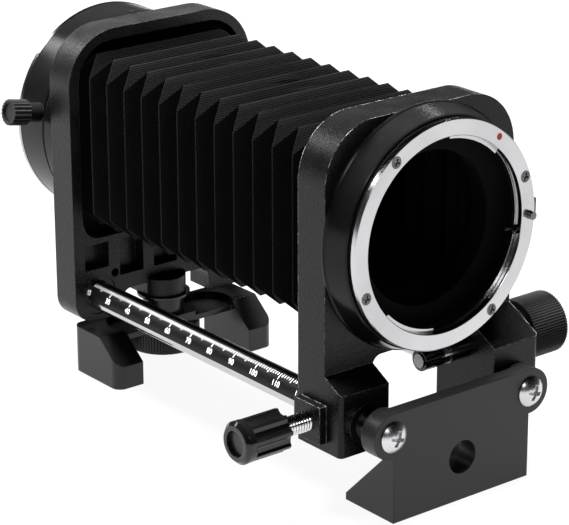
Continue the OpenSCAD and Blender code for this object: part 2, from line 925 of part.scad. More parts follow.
module lens_ring() {
    color("#d2d3d5")
        difference() {
            union() {
                turned_y()
                    polygon([[throat_r, ring_y + 0.2], [throat_r + 0.2, ring_y], [ring_r - 0.3, ring_y],
                        [ring_r, ring_y + 0.3], [ring_r, ring_back], [barrel_in - snug, ring_back],
                        [barrel_in - snug, ring_back + sleeve_l], [rim_r, ring_back + sleeve_l],
                        [rim_r, ring_y + lip_l + mount_lug_h], [groove_r, ring_y + lip_l + mount_lug_h],
                        [groove_r, ring_y + lip_l], [throat_r, ring_y + lip_l]]);
                lugs(lug_r, groove_r + 0.1, ring_y + lip_l + mount_lug_h + 0.1);
            }
            for (a = ring_screw_angles)
                round_axis(a, screw_circle) {
                    along_y(ring_head_r + snug, ring_y - eps, ring_y + ring_head_h, 0, 0, small);
                    along_y(ring_thread_r + snug, ring_y, ring_back + eps, 0, 0, small);
                }
            round_axis(pin_angle, screw_circle)
                along_y(pin_r + run, ring_y - eps, ring_back + eps, 0, 0, small);
            round_axis(dot_angle, screw_circle)
                along_y(dot_r, ring_y - eps, ring_y + 0.3, 0, 0, small);
            stop_radial()
                cylinder(r = stop_r + snug, h = 6, $fn = small);
        }
}

module lens_ring_screws() {
    color("#b4b5b7")
        for (a = ring_screw_angles)
            round_axis(a, screw_circle)
                translate([0, ring_y - 0.05, 0])
                    difference() {
                        union() {
                            along_y(ring_head_r, 0, ring_head_h + 0.05, 0, 0, small);
                            along_y(ring_thread_r, 0, ring_thread_l, 0, 0, small);
                        }
                        cross_recess(ring_head_r * 1.35, 0.5);
                    }
}

module index_dot() {
    color("#c22a2c")
        round_axis(dot_angle, screw_circle)
            along_y(dot_r - snug, ring_y - 0.05, ring_y + 0.3, 0, 0, small);
}

// Z points outwards along the stop pin, from the pin's inner end
module stop_radial() {
    translate([0, stop_y, axis_z])
        rotate([0, 90 + stop_angle, 0])
            translate([0, 0, throat_r - 3.6])
                children();
}

module stop_pin() {
    color("#161617")
        stop_radial()
            cylinder(r = stop_r, h = barrel_in - throat_r + 3.5, $fn = small);
}

module release_pin() {
    color("#cfcfd1")
        round_axis(pin_angle, screw_circle)
            along_y(pin_r, ring_y - pin_out, lever_y, 0, 0, small);
}

module release_lever() {
    color("#1d1d1e")
        lever_frame()
            translate([lever_r0, lever_y, -lever_w / 2])
                cube([lever_l, lever_t, lever_w]);
}

module release_spring() {
    color("#9b9c9e")
        round_axis(pin_angle, screw_circle)
            difference() {
                along_y(pin_r, lever_y + lever_t, spring_y, 0, 0, small);
                along_y(spring_r, lever_y + lever_t - eps, spring_y + eps, 0, 0, small);
            }
}

// Side profile of the pinion: an involute flank on each side of every tooth
function involute(angle) = tan(angle) * 180 / PI - angle;
function flank_angle(r) = involute(acos(min(1, base_r / r)));
tooth_half = 90 / pinion_n - backlash / 4 / pitch_r * 180 / PI + involute(20);

function tooth_points(middle) =
    let (steps = 4, radii = [for (i = [0 : steps]) base_r + (tip_r - base_r) * i / steps])
    concat(
        [[root_r, middle - tooth_half]],
        [for (r = radii) [r, middle - tooth_half + flank_angle(r)]],
        [for (i = [steps : -1 : 0]) [radii[i], middle + tooth_half - flank_angle(radii[i])]],
        [[root_r, middle + tooth_half]]);

module pinion_outline() {
    polygon([for (i = [0 : pinion_n - 1]) for (p = tooth_points(i * 360 / pinion_n))
        [p[0] * cos(p[1]), p[0] * sin(p[1])]]);
}

module drive_shaft() {
    color("#b4b5b7")
        union() {
            along_x(shaft_r - 1, shaft_end, thread_x, drive_y, drive_z);
            along_x(shaft_r, thread_x, knob_x + knob_bore_l, drive_y, drive_z);
            translate([rail_x - pinion_w / 2, drive_y, drive_z])
                rotate([0, 90, 0])
                    linear_extrude(pinion_w)
                        pinion_outline();
        }
}

module shaft_washer() {
    color("#d2d3d5")
        difference() {
            along_x(shaft_r - 0.2, washer_x, thread_x - snug, drive_y, drive_z);
            along_x(shaft_r - 1 + snug, washer_x - eps, thread_x, drive_y, drive_z);
        }
}

module shaft_nut() {
    color("#161617")
        difference() {
            along_x(shaft_r, nut_x + snug, washer_x - snug, drive_y, drive_z);
            along_x(shaft_r - 1 + snug, nut_x - eps, washer_x + eps, drive_y, drive_z);
            translate([nut_x, drive_y - 0.5, drive_z + shaft_r - 0.7])
                cube([nut_l - 1.2, 1, 1]);
            translate([nut_x, drive_y - shaft_r - 0.3, drive_z - 0.5])
                cube([nut_l - 1.2, 1, 1]);
        }
}

module drive_knob() {
    color("#2f2f30")
        difference() {
            union() {
                along_x(knob_neck_r, half_w + 0.4, knob_x + eps, drive_y, drive_z);
                translate([knob_x, drive_y, drive_z])
                    rotate([0, 90, 0])
                        linear_extrude(knob_l)
                            knurl(knob_d / 2, 72, 0.42);
            }
            along_x(shaft_r + snug, half_w, knob_x + knob_bore_l + 0.05, drive_y, drive_z);
            along_x(knob_neck_r, knob_x + knob_l - 0.8, knob_x + knob_l + 1, drive_y, drive_z);
        }
}

module lock_stud() {
    color("#cfcfd1")
        along_x(lock_r, lock_knob_x - stud_in, pad_x - pad_t, lock_y, rail_z);
}

module lock_pad() {
    color("#b08d4c")
        difference() {
            along_x(lock_r, pad_x - pad_t, -rail_x, lock_y, rail_z);
            along_y(rail_r + run, lock_y - 2 * lock_d, lock_y + 2 * lock_d, -rail_x, rail_z);
        }
}

module lock_knob() {
    flutes = 8;
    r = lock_knob_d / 2;
    x_out = lock_knob_x - lock_knob_l;
    color("#0f0f10")
        difference() {
            union() {
                along_x(r, x_out + 1, lock_knob_x, lock_y, rail_z);
                translate([x_out, lock_y, rail_z])
                    rotate([0, 90, 0])
                        cylinder(r1 = r - 1, r2 = r, h = 1 + eps, $fn = medium);
            }
            along_x(lock_r + snug, lock_knob_x - stud_in - 0.05, lock_knob_x + eps, lock_y, rail_z);
            along_x(cap_r, x_out - eps, x_out + cap_deep + cap_t, lock_y, rail_z);
            for (i = [0 : flutes - 1])
                translate([x_out + 3, lock_y, rail_z])
                    rotate([i * 360 / flutes + 12, 0, 0])
                        translate([0, 0, r + 1.15])
                            rotate([0, 90, 0])
                                cylinder(r = 2.2, h = lock_knob_l, $fn = small);
        }
}

module lock_knob_cap() {
    x_out = lock_knob_x - lock_knob_l;
    color("#3c3c3e")
        along_x(cap_r - snug, x_out + cap_deep, x_out + cap_deep + cap_t - snug, lock_y, rail_z);
}

// ---- Tripod block ----

module tripod_block() {
    color("#4a4a4b")
        difference() {
            union() {
                difference() {
                    union() {
                        intersection() {
                            for (x = [-half_block, foot_in])
                                slab_x(x, x + foot_w)
                                    polygon([[foot_front, floor_z], [foot_back, floor_z],
                                        [foot_back, block_z], [foot_slope_y, block_z],
                                        [foot_front, foot_slope_z]]);
                            translate([0, 0, floor_z - 1])
                                linear_extrude(block_h + 2)
                                    rounded(-half_block, foot_front, half_block, foot_back,
                                        foot_corner, foot_corner);
                        }
                        translate([-foot_in - eps, beam_front, beam_z])
                            cube([2 * foot_in + 2 * eps, foot_back - beam_front, beam_t]);
                    }
                    for (side = [-1, 1])
                        along_z(dish_r, block_z - dish_d, block_z + 1, side * dish_x, dish_y);
                }
                along_z(collar_r - 0.6, beam_z, collar_z - swivel_t);
            }
            along_z(stud_r + snug, beam_z - eps, collar_z);
        }
}

module swivel_washer() {
    color("#0f0f10")
        difference() {
            along_z(collar_r + swivel_w, collar_z - swivel_t, collar_z);
            along_z(stud_r + snug, collar_z - swivel_t - eps, collar_z + eps);
        }
}

module tripod_stud() {
    color("#cfcfd1")
        difference() {
            union() {
                along_z(stud_r, beam_z - 1, collar_top - 0.4);
                along_z(thread_r, 0, beam_z - 0.2);
            }
            along_z(socket_r, -eps, socket_l, 0, 0, medium);
            translate([-stud_r - 1, -0.5, collar_top - 1.2])
                cube([2 * stud_r + 2, 1, 2]);
        }
}

module clamp_wheel() {
    color("#3a3a3b")
        difference() {
            translate([0, 0, 0.2])
                linear_extrude(wheel_top - 0.2)
                    knurl(wheel_r, 72, 0.4);
            along_z(thread_r + run, -eps, wheel_top + eps);
        }
}

rear_standard();
left_rail();
right_rail();
scale_band();
nose_plate();
nose_screws();
rail_grub_screws();
bellows();
bellows_rear_frame();
bellows_front_frame();
camera_ring();
camera_barrel();
retaining_ring();
camera_bayonet();
camera_bayonet_screws();
turn_lock_knob();
turn_lock_screw();
front_standard();
rail_bushes();
mount_barrel();
throat_baffle();
lens_ring();
lens_ring_screws();
index_dot();
stop_pin();
release_pin();
release_lever();
release_spring();
drive_shaft();
drive_knob();
shaft_washer();
shaft_nut();
lock_stud();
lock_knob();
lock_knob_cap();
lock_pad();
tripod_block();
swivel_washer();
tripod_stud();
clamp_wheel();
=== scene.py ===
"""Dressed view of the macro bellows unit: finishes on every CAD node, the folded cloth, the printed scale,
the lock screw's thread, the lens lock's spring, studio light and a camera at the photograph's angle."""
import math
import bpy
import bmesh
from mathutils import Matrix, Vector


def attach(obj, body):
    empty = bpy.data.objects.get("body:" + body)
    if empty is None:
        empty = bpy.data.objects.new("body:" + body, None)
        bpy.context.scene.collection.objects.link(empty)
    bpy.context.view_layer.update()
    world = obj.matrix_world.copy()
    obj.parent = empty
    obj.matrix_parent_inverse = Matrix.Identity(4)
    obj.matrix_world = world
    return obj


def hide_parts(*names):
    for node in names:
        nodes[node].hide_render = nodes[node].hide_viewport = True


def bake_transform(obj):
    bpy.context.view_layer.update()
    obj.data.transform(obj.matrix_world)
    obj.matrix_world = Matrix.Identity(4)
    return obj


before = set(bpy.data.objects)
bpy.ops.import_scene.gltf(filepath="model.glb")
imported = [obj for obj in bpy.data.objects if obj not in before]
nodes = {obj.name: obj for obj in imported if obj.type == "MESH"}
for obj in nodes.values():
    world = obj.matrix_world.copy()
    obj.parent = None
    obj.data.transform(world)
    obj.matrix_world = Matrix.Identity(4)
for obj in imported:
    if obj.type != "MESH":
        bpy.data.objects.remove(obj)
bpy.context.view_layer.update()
MM = 0.001

# Places that part.scad also uses, in millimetres
AXIS_Z = 70.0
RAIL_X, RAIL_Z, RAIL_R = -24.5, 22.0, 4.25
SCALE_ZERO = 18.5
BELLOWS_BACK, BELLOWS_FRONT = 3.1, -107.4
BELLOWS_W, BELLOWS_H, FOLD, FOLDS = 57.0, 52.5, 5.8, 13


# ---- Materials ----

# Metres between the bands of a wave texture whose scale is 1
WAVE_PERIOD = 0.314


class Shade:
    """A number or colour that changes over a surface. Python's operators add the Math nodes."""

    def __init__(self, finish, socket):
        self.finish, self.socket = finish, socket

    def maths(self, operation, *others):
        values = dict(enumerate((self, *others)))
        return self.finish.node("ShaderNodeMath", {"operation": operation}, values)

    def __add__(self, other):
        return self.maths("ADD", other)

    def __sub__(self, other):
        return self.maths("SUBTRACT", other)

    def __rsub__(self, other):
        return self.finish.node("ShaderNodeMath", {"operation": "SUBTRACT"}, {0: other, 1: self})

    def __mul__(self, other):
        return self.maths("MULTIPLY", other)

    __radd__, __rmul__ = __add__, __mul__

    def most(self, other):
        return self.maths("MAXIMUM", other)

    def between(self, low, high, to_low=0.0, to_high=1.0):
        """Runs evenly from to_low at low to to_high at high, and stays there outside."""
        return self.finish.node("ShaderNodeMapRange", {}, {
            "Value": self, "From Min": low, "From Max": high, "To Min": to_low, "To Max": to_high})


class Nodes:
    """A node tree that gets its nodes one at a time."""

    def __init__(self, tree):
        self.tree = tree

    def node(self, kind, settings, sockets, out=0):
        made = self.tree.nodes.new(kind)
        for name, value in settings.items():
            setattr(made, name, value)
        for name, value in sockets.items():
            if isinstance(value, Shade):
                self.tree.links.new(value.socket, made.inputs[name])
            else:
                made.inputs[name].default_value = value
        return Shade(self, made.outputs[out])


class Finish(Nodes):
    """One material, built round Blender's Principled shader."""

    def __init__(self, name, **fixed):
        self.material = bpy.data.materials.new(name)
        self.material.use_nodes = True
        super().__init__(self.material.node_tree)
        self.skin = self.tree.nodes["Principled BSDF"]
        for socket, value in fixed.items():
            self.skin.inputs[socket.replace("_", " ")].default_value = value
        self.place = self.node("ShaderNodeTexCoord", {}, {}, "Object")

    def noise(self, scale, detail=4.0, rough=0.55):
        return self.node("ShaderNodeTexNoise", {}, {
            "Vector": self.place, "Scale": scale, "Detail": detail, "Roughness": rough}, "Fac")

    def rings(self, direction, period, wobble=0.6, over=None):
        """Evenly spaced lines across one direction, period metres apart."""
        return self.node("ShaderNodeTexWave", {"wave_type": "BANDS", "bands_direction": direction}, {
            "Vector": over or self.place, "Scale": WAVE_PERIOD / period, "Distortion": wobble,
            "Detail Scale": 2.0}, "Fac")

    def blend(self, factor, a, b):
        a = a if isinstance(a, Shade) else (*a, 1.0)
        b = b if isinstance(b, Shade) else (*b, 1.0)
        return self.node("ShaderNodeMix", {"data_type": "RGBA"}, {"Factor": factor, "A": a, "B": b}, "Result")

    def relief(self, height, depth, strength=1.0, under=None):
        sockets = {"Height": height, "Distance": depth, "Strength": strength}
        if under:
            sockets["Normal"] = under
        return self.node("ShaderNodeBump", {}, sockets)

    def soft_edges(self, radius):
        """Normals rounded over every sharp edge, and a mask that is 1 on the edge itself."""
        rounded = self.node("ShaderNodeBevel", {"samples": 8}, {"Radius": radius})
        flat = self.node("ShaderNodeNewGeometry", {}, {}, "True Normal")
        facing = self.node("ShaderNodeVectorMath", {"operation": "DOT_PRODUCT"}, {
            0: rounded, 1: flat}, "Value")
        return rounded, facing.between(0.82, 0.975, 1.0, 0.0)

    def drive(self, **sockets):
        for name, value in sockets.items():
            self.tree.links.new(value.socket, self.skin.inputs[name.replace("_", " ")])
        return self


def surface(name, dark, light, rough, grain, depth, broad=70.0,
            turned=None, speckle=None, edge=None, **fixed):
    """Colour and gloss that drift over the piece, fine grain, rings where it was turned, and lightened edges
    that are partly worn finish and partly a painted highlight.
    """
    f = Finish(name, **fixed)
    drift = f.noise(broad, 3.0)
    fine = f.noise(grain, 5.0, 0.62)
    colour = f.blend(drift.between(0.3, 0.7), dark, light)
    if speckle:
        colour = f.blend(fine.between(0.60, 0.72), colour, speckle)
    gloss_drift = (fine * 0.7 + drift * 0.3).between(0.35, 0.65, *rough)
    rounded = None
    if edge:
        # The edges are lightened in patches: partly wear, partly a painted highlight where an edge would
        # catch the light.
        radius, wear_and_highlight_colour, patches = edge
        rounded, on_edge = f.soft_edges(radius)
        wear_and_glint_patches = on_edge * f.noise(330.0, 4.0, 0.7).between(*patches) * fine.between(0.35, 0.55, 0.3, 1.0)
        colour = f.blend(wear_and_glint_patches, colour, wear_and_highlight_colour)
    normal = f.relief(fine, depth, 0.6, rounded)
    if turned:
        normal = f.relief(f.rings(*turned[:2]), turned[2], 0.5, normal)
    f.drive(Base_Color=colour, Roughness=gloss_drift, Normal=normal)
    return f.material


def grey(value, warm=1.02):
    return (value, value, value * warm)


# edge= gives the rounding radius, the colour of the lightened edges (part wear, part painted highlight) and
# the noise range of their patches.
cast = surface("crackle_paint", grey(0.0018), grey(0.0034), (0.20, 0.34), 1300.0, 0.00016, 120.0,
               speckle=grey(0.006), edge=(0.00042, grey(0.30), (0.42, 0.60)), Specular_IOR_Level=0.22)
cast_rear = surface("crackle_paint_rear", grey(0.0045), grey(0.0080), (0.22, 0.36), 1300.0, 0.00016, 120.0,
                    speckle=grey(0.014), edge=(0.0003, grey(0.08), (0.46, 0.66)), Specular_IOR_Level=0.25)
cast_fine = surface("block_paint", grey(0.004), grey(0.007), (0.14, 0.26), 2200.0, 0.00005, 90.0,
                    edge=(0.0004, grey(0.05), (0.50, 0.70)), Specular_IOR_Level=0.42)
plate = surface("plate_paint", grey(0.0058), grey(0.0072), (0.34, 0.42), 2600.0, 0.00004, 60.0,
                edge=(0.0003, grey(0.03), (0.55, 0.75)), Specular_IOR_Level=0.40)
satin = surface("satin_anodised", grey(0.0020), grey(0.0035), (0.14, 0.22), 3000.0, 0.00002, 70.0,
                turned=("Y", 0.00035, 0.000005), edge=(0.0002, grey(0.05), (0.40, 0.60)),
                Specular_IOR_Level=0.20)
flock = surface("flocked_black", grey(0.0012), grey(0.0030), (0.75, 0.92), 2400.0, 0.00010, 90.0,
                Specular_IOR_Level=0.10)
knurled = surface("knurled_black", grey(0.006), grey(0.012), (0.26, 0.40), 2600.0, 0.00005, 90.0,
                  edge=(0.00015, grey(0.03), (0.40, 0.60)), Specular_IOR_Level=0.45)
gloss = surface("gloss_moulding", grey(0.0015), grey(0.0030), (0.07, 0.14), 1500.0, 0.00002, 70.0,
                edge=(0.00035, grey(0.01), (0.40, 0.60)), Specular_IOR_Level=0.55)
chrome = surface("polished_chrome", grey(0.52), grey(0.66), (0.20, 0.30), 1800.0, 0.000008, 60.0,
                 edge=(0.0002, grey(0.70), (0.20, 0.30)), Metallic=1.0)
rail_steel = surface("ground_rail", grey(0.50), grey(0.60), (0.08, 0.16), 1800.0, 0.000008, 60.0,
                     Metallic=1.0)
flange = surface("satin_chrome", grey(0.50), grey(0.62), (0.16, 0.25), 2600.0, 0.00001, 45.0,
                 edge=(0.00018, grey(0.85), (0.20, 0.35)), Metallic=1.0)
flange_rear = surface("satin_chrome_rear", grey(0.42), grey(0.56), (0.16, 0.25), 2600.0, 0.00001, 80.0,
                      Metallic=1.0)
steel = surface("turned_steel", grey(0.20), grey(0.32), (0.14, 0.28), 2400.0, 0.00002, 90.0,
                edge=(0.00012, grey(0.60), (0.30, 0.50)), Metallic=1.0)
thread_steel = surface("thread_steel", grey(0.70), grey(0.85), (0.10, 0.20), 2400.0, 0.00001, 90.0,
                       Metallic=1.0)
dark_steel = surface("dark_steel", grey(0.07), grey(0.16), (0.14, 0.28), 2400.0, 0.00002, 90.0,
                     edge=(0.00012, grey(0.50), (0.30, 0.50)), Metallic=1.0)
zinc = surface("zinc_plate", grey(0.12), grey(0.22), (0.24, 0.38), 2400.0, 0.00002, 90.0, Metallic=1.0)
brass = surface("plain_brass", (0.46, 0.32, 0.12), (0.60, 0.44, 0.20), (0.20, 0.36), 2400.0, 0.00002, 90.0,
                Metallic=1.0)
red = surface("red_enamel", (0.30, 0.005, 0.008), (0.40, 0.010, 0.013), (0.25, 0.35), 1500.0, 0.00001, 900.0,
              Specular_IOR_Level=0.3)
# The white ink glows faintly: painted light standing in for the top light, which the bellows and standards
# keep off the rail.
ink_with_painted_glow = surface("white_ink", grey(0.74, 0.99), grey(0.86, 0.99), (0.50, 0.62), 3000.0, 0.00001, 700.0,
              Emission_Color=(1.0, 1.0, 1.0, 1.0), Emission_Strength=0.40)
band = surface("band_black", grey(0.0035), grey(0.0060), (0.34, 0.46), 3000.0, 0.00002, 90.0,
               Specular_IOR_Level=0.16)

for material, names in (
        (cast, "front_standard"),
        (cast_rear, "rear_standard"),
        (cast_fine, "tripod_block"),
        (plate, "nose_plate"),
        (satin, "mount_barrel camera_ring camera_barrel stop_pin"),
        (flock, "throat_baffle bellows_rear_frame bellows_front_frame rail_bushes"),
        (knurled, "drive_knob turn_lock_knob clamp_wheel lock_knob_cap"),
        (gloss, "lock_knob shaft_nut swivel_washer"),
        (chrome, "nose_screws lock_stud shaft_washer"),
        (rail_steel, "left_rail right_rail"),
        (flange, "lens_ring"),
        (flange_rear, "camera_bayonet"),
        (dark_steel, "lens_ring_screws release_lever"),
        (steel, "drive_shaft camera_bayonet_screws turn_lock_screw tripod_stud"),
        (zinc, "rail_grub_screws retaining_ring release_spring release_pin"),
        (brass, "lock_pad"),
        (red, "index_dot"),
        (band, "scale_band")):
    for n in names.split():
        nodes[n].data.materials.clear()
        nodes[n].data.materials.append(material)


def piece(name, bm, material):
    mesh = bpy.data.meshes.new(name)
    bm.to_mesh(mesh)
    bm.free()
    mesh.materials.append(material)
    o = bpy.data.objects.new(name, mesh)
    bpy.context.collection.objects.link(o)
    return o


# ---- The folded cloth ----

HALF_FOLD = (BELLOWS_BACK - BELLOWS_FRONT) / (2 * FOLDS)
PANEL = math.hypot(HALF_FOLD, FOLD)
CLOTH_T, SAG, PANEL_CUTS = 0.55, 0.30, 7
# Metres from one thread of the cloth to the next
THREAD_GAP = 0.00062


def cloth_finish():
    f = Finish("woven_cloth", Specular_IOR_Level=0.05, Sheen_Weight=0.04, Sheen_Roughness=0.30)
    weave_place = f.node("ShaderNodeUVMap", {"uv_map": "weave"}, {}, "UV")
    creases = f.node("ShaderNodeUVMap", {"uv_map": "creases"}, {}, "UV")
    from_fold = f.node("ShaderNodeSeparateXYZ", {}, {"Vector": creases}, "X")
    from_corner = f.node("ShaderNodeSeparateXYZ", {}, {"Vector": creases}, "Y")
    threads = f.rings("X", THREAD_GAP, 0.35, weave_place) * f.rings("Y", THREAD_GAP, 0.35, weave_place)
    drift = f.noise(90.0, 3.0)
    wear_and_glint_patches = f.noise(1400.0, 4.0)
    # Thin light lines along the outer folds and the corner creases are painted highlights, broken into
    # patches by the noise above.
    fold_highlight = from_fold.between(0.00015, 0.00042, 1.0, 0.0) * wear_and_glint_patches.between(0.30, 0.55, 0.45, 1.0)
    corner_highlight = from_corner.between(0.00010, 0.00034, 0.8, 0.0) * wear_and_glint_patches.between(0.35, 0.6, 0.3, 1.0)
    across_top = f.node("ShaderNodeNewGeometry", {}, {}, "True Normal")
    upright = f.node("ShaderNodeSeparateXYZ", {}, {"Vector": across_top}, "Z")
    # The painted highlights stay full on the upright side panels and fade on the top and bottom panels, as
    # the light falls.
    line = fold_highlight.most(corner_highlight) * (upright * upright).between(0.02, 0.15, 1.0, 0.12)
    # Lighter next to each outer fold, fading towards the valleys: painted light on the ridges and painted
    # shade in the creases.
    soft = from_fold.between(0.0004, 0.0022, 0.35, 0.0)
    base = f.blend(threads, grey(0.0010), grey(0.0050))
    base = f.blend(soft, base, grey(0.0056))
    # grey(0.030) is the colour of the painted crease highlights.
    f.drive(Base_Color=f.blend(line, base, grey(0.030)), Roughness=drift.between(0.3, 0.7, 0.58, 0.74),
            Normal=f.relief(threads, 0.00010, 0.7))
    return f.material


def fold_size(step):
    """Half width and half height of the cloth at a half-fold, or between two of them."""
    lower = math.floor(step)
    out = FOLD * (1 - abs(1 - (step - lower) - lower % 2))
    return BELLOWS_W / 2 - out, BELLOWS_H / 2 - (FOLD - out)


def make_bellows():
    """A square hoop, extruded from one crease to the next, with panels that sag a little between them."""
    bm = bmesh.new()
    uv_weave = bm.loops.layers.uv.new("weave")
    uv_crease = bm.loops.layers.uv.new("creases")
    step_of = bm.verts.layers.float.new("step")
    panel_of = bm.faces.layers.int.new("panel")
    w, h = fold_size(0)
    hoop = [bm.verts.new((sx * w, BELLOWS_BACK, AXIS_Z + sz * h))
            for sx, sz in ((1, 1), (-1, 1), (-1, -1), (1, -1))]
    edges = [bm.edges.new((hoop[k], hoop[(k + 1) % 4])) for k in range(4)]
    for step in range(1, 2 * FOLDS + 1):
        made = bmesh.ops.extrude_edge_only(bm, edges=edges)["geom"]
        edges = [g for g in made if isinstance(g, bmesh.types.BMEdge) and all(v in made for v in g.verts)]
        w, h = fold_size(step)
        for v in (g for g in made if isinstance(g, bmesh.types.BMVert)):
            v[step_of] = step
            v.co = Vector((math.copysign(w, v.co.x), BELLOWS_BACK - step * HALF_FOLD,
                           AXIS_Z + math.copysign(h, v.co.z - AXIS_Z)))
        for face in (g for g in made if isinstance(g, bmesh.types.BMFace)):
            face[panel_of] = step - 1
    bmesh.ops.recalc_face_normals(bm, faces=bm.faces)
    bmesh.ops.subdivide_edges(bm, edges=bm.edges, cuts=PANEL_CUTS, use_grid_fill=True)
    bm.normal_update()
    for v in bm.verts:
        part = v[step_of] % 1.0
        if 0.001 < part < 0.999:
            w, h = fold_size(v[step_of])
            across = (1 - min(abs(v.co.x) / w, 1)) + (1 - min(abs(v.co.z - AXIS_Z) / h, 1))
            lean = 1.0 + 0.5 * math.sin(1.7 * math.floor(v[step_of]) + 1.3 * math.copysign(1, v.normal.x))
            from_edge = math.sin(math.pi / 2 * min(across * 1.6, 1))
            v.co -= v.normal * SAG * lean * math.sin(math.pi * part) * from_edge
    for face in bm.faces:
        start = face[panel_of]
        on_side = abs(face.normal.x) > abs(face.normal.z)
        fold_at_start = (start % 2 == 0) == on_side
        for loop in face.loops:
            p = loop.vert.co
            part = min(max(loop.vert[step_of] - start, 0.0), 1.0)
            w, h = fold_size(loop.vert[step_of])
            along = (p.z - AXIS_Z) if on_side else p.x
            half = h if on_side else w
            loop[uv_weave].uv = (along * MM, (start + part) * PANEL * MM)
            from_fold = (part if fold_at_start else 1 - part) * PANEL
            loop[uv_crease].uv = (from_fold * MM, max(half - abs(along), 0.0) * MM)
    bmesh.ops.scale(bm, vec=(MM, MM, MM), verts=bm.verts)
    cloth = piece("bellows_cloth", bm, cloth_finish())
    wall = cloth.modifiers.new("thickness", "SOLIDIFY")
    wall.thickness = CLOTH_T * MM
    wall.offset = -1.0
    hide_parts("bellows")
    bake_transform(cloth)


make_bellows()


# ---- The printed scale on the left rail ----

FIRST_TICK, LAST_TICK, FIRST_NUMBER, LAST_NUMBER = 21, 132, 20, 130
TEN_L, FIVE_L, ONE_L, TICK_W = 2.2, 1.65, 1.1, 0.25
DIGIT_SIZE, DIGIT_SWELL, DIGIT_GAP, DIGIT_RISE = 2.3, 0.015, 0.35, 1.65
STRIP_W, STRIPS = 0.2, 24
INK_LIFT, SCALE_TOP = 0.03, math.radians(110)


def digits_mesh(text):
    curve = bpy.data.curves.new("digits", "FONT")
    curve.body = text
    curve.size = DIGIT_SIZE
    curve.offset = DIGIT_SWELL
    curve.align_x = "CENTER"
    curve.resolution_u = 4
    holder = bpy.data.objects.new("digits", curve)
    bpy.context.collection.objects.link(holder)
    bpy.context.view_layer.update()
    flat = bpy.data.meshes.new_from_object(holder)
    bpy.data.objects.remove(holder)
    bpy.data.curves.remove(curve)
    return flat


def make_scale():
    """Drawn flat in millimetres, X along the rail and Y round it, cut into strips and bent onto the rail."""
    bm = bmesh.new()
    for reading in range(FIRST_TICK, LAST_TICK + 1):
        length = TEN_L if reading % 10 == 0 else FIVE_L if reading % 5 == 0 else ONE_L
        bmesh.ops.create_grid(bm, x_segments=1, y_segments=1, size=0.5, matrix=Matrix.Translation(
            (reading - SCALE_ZERO, -length / 2, 0)) @ Matrix.Diagonal((TICK_W, length, 1, 1)))
    for reading in range(FIRST_NUMBER, LAST_NUMBER + 1, 10):
        flat = digits_mesh(str(reading))
        flat.transform(Matrix.Translation((reading - SCALE_ZERO, -(TEN_L + DIGIT_GAP + DIGIT_RISE), 0)))
        bm.from_mesh(flat)
        bpy.data.meshes.remove(flat)
    for cut in range(1, STRIPS):
        bmesh.ops.bisect_plane(bm, geom=bm.verts[:] + bm.edges[:] + bm.faces[:], dist=0.0001,
                               plane_co=(0, -STRIP_W * cut, 0), plane_no=(0, 1, 0))
    r = RAIL_R + INK_LIFT
    for v in bm.verts:
        angle = SCALE_TOP - v.co.y / RAIL_R
        v.co = Vector((RAIL_X + r * math.cos(angle), -v.co.x, RAIL_Z + r * math.sin(angle))) * MM
    bm.normal_update()
    rail_centre = Vector((RAIL_X, 0, RAIL_Z)) * MM
    inward = [f for f in bm.faces
              if f.normal.xz.dot((f.calc_center_median() - rail_centre).xz) < 0]
    bmesh.ops.reverse_faces(bm, faces=inward)
    marks = piece("scale_marks", bm, ink_with_painted_glow)
    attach(marks, "frame")


make_scale()


# ---- The thread of the rail lock screw ----

LOCK_Y, LOCK_R, THREAD_PITCH = -113.5, 2.5, 0.9
THREAD_FROM, THREADS, THREAD_SIDES = -44.3, 10, 40
CREST, ROOT = 0.22, -0.05


def make_lock_thread():
    """A saw-toothed line, spun round the screw's axis. Its roots lie just under the plain CAD screw."""
    bm = bmesh.new()
    line = [bm.verts.new((THREAD_FROM + k * THREAD_PITCH / 2, LOCK_Y,
                          RAIL_Z + LOCK_R + (CREST if k % 2 else ROOT)))
            for k in range(2 * THREADS)]
    edges = [bm.edges.new(pair) for pair in zip(line, line[1:])]
    bmesh.ops.spin(bm, geom=line + edges, cent=(THREAD_FROM, LOCK_Y, RAIL_Z), axis=(1, 0, 0),
                   angle=math.tau, steps=THREAD_SIDES, use_merge=True)
    near_end = [e for e in bm.edges if e.is_boundary and e.verts[0].co.x < THREAD_FROM + 0.1]
    bmesh.ops.contextual_create(bm, geom=near_end)
    bmesh.ops.contextual_create(bm, geom=[e for e in bm.edges if e.is_boundary])
    bmesh.ops.recalc_face_normals(bm, faces=bm.faces)
    bmesh.ops.scale(bm, vec=(MM, MM, MM), verts=bm.verts)
    thread = piece("lock_thread", bm, thread_steel)
    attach(thread, "front_lock")


make_lock_thread()


# ---- The return spring of the lens lock pin ----

WIRE_R, WIRE_SIDES, COIL_R, COIL_TURNS, COIL_STEPS = 0.15, 8, 0.88, 3, 72
SPRING_GAP = 0.03


